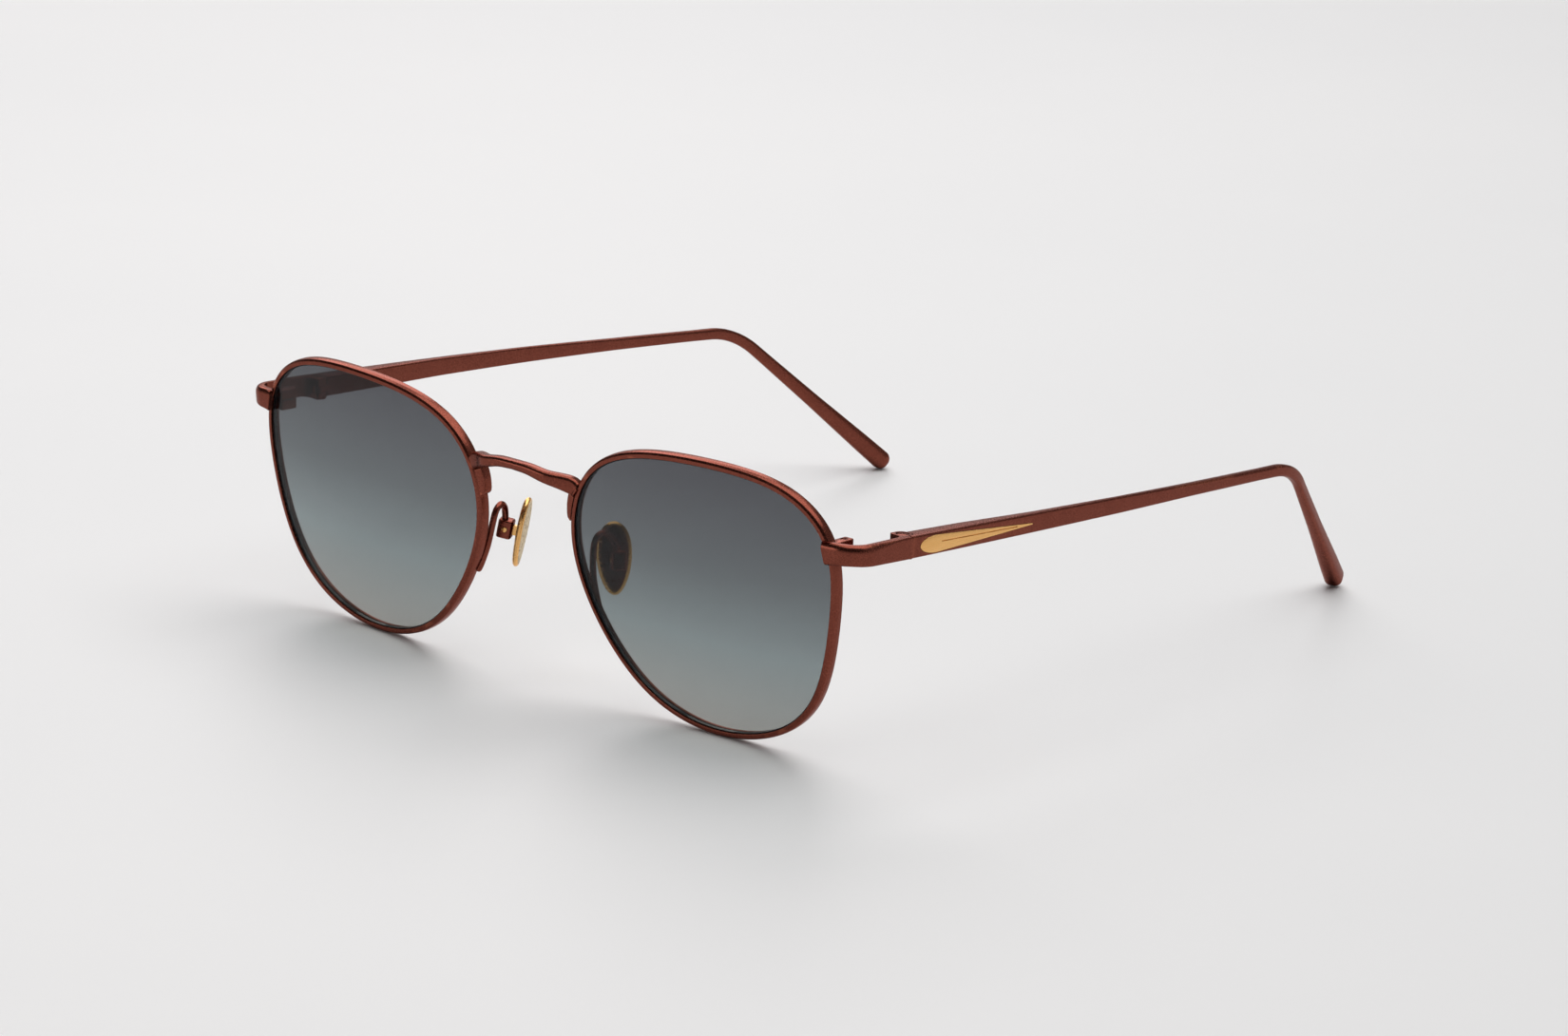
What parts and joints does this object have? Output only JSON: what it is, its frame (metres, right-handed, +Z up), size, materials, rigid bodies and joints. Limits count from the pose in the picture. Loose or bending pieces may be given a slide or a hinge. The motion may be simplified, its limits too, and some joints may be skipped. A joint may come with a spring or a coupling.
{
  "type": "sunglasses",
  "caption": "Full-rim metal sunglasses with tinted lenses, saddle bridge, adjustable nose pads and folding temples.",
  "frame": {"origin": "centre of the open sunglasses in X and Y, at the table that the rims and the temple tips rest on", "axes": "+X to the wearer's left, +Y from the lenses back to the temple tips, +Z up"},
  "size_m": [0.126, 0.1418, 0.0424],
  "materials": {
    "copper_metal": "satin copper-brown plated metal",
    "gold_metal": "polished pale gold",
    "tinted_lens": "smooth grey tint, darker at the top"
  },
  "bodies": {
    "front": {"bridge": "copper_metal", "rim_left": "copper_metal", "lens_left": "tinted_lens", "closing_block_upper_left": "copper_metal", "closing_block_lower_left": "copper_metal", "closing_block_screw_left": "copper_metal", "end_piece_left": "copper_metal", "hinge_screw_left": "copper_metal", "bridge_foot_left": "copper_metal", "pad_arm_left": "copper_metal", "pad_box_left": "copper_metal", "pad_screw_left": "gold_metal", "rim_right": "copper_metal", "lens_right": "tinted_lens", "closing_block_upper_right": "copper_metal", "closing_block_lower_right": "copper_metal", "closing_block_screw_right": "copper_metal", "end_piece_right": "copper_metal", "hinge_screw_right": "copper_metal", "bridge_foot_right": "copper_metal", "pad_arm_right": "copper_metal", "pad_box_right": "copper_metal", "pad_screw_right": "gold_metal"},
    "temple_left": {"temple_left": "copper_metal", "temple_inlay_left": "gold_metal"},
    "temple_right": {"temple_right": "copper_metal", "temple_inlay_right": "gold_metal"},
    "nose_pad_left": {"nose_pad_left": "gold_metal"},
    "nose_pad_right": {"nose_pad_right": "gold_metal"}
  },
  "joints": [
    {"name": "temple_left_fold", "type": "hinge", "parent": "front", "child": "temple_left", "pos_m": [0.06055, -0.05265, 0.032], "axis": [0, 0, 1], "range_deg": [0, 86]},
    {"name": "nose_pad_left_rock", "type": "hinge", "parent": "front", "child": "nose_pad_left", "pos_m": [0.01174, -0.05941, 0.02068], "axis": [0.5299, 0.848, 0], "range_deg": [-8, 8]},
    {"name": "temple_right_fold", "type": "hinge", "parent": "front", "child": "temple_right", "pos_m": [-0.06055, -0.05265, 0.032], "axis": [0, 0, -1], "range_deg": [0, 78]},
    {"name": "nose_pad_right_rock", "type": "hinge", "parent": "front", "child": "nose_pad_right", "pos_m": [-0.01174, -0.05941, 0.02068], "axis": [-0.5299, 0.848, 0], "range_deg": [-8, 8]}
  ]
}
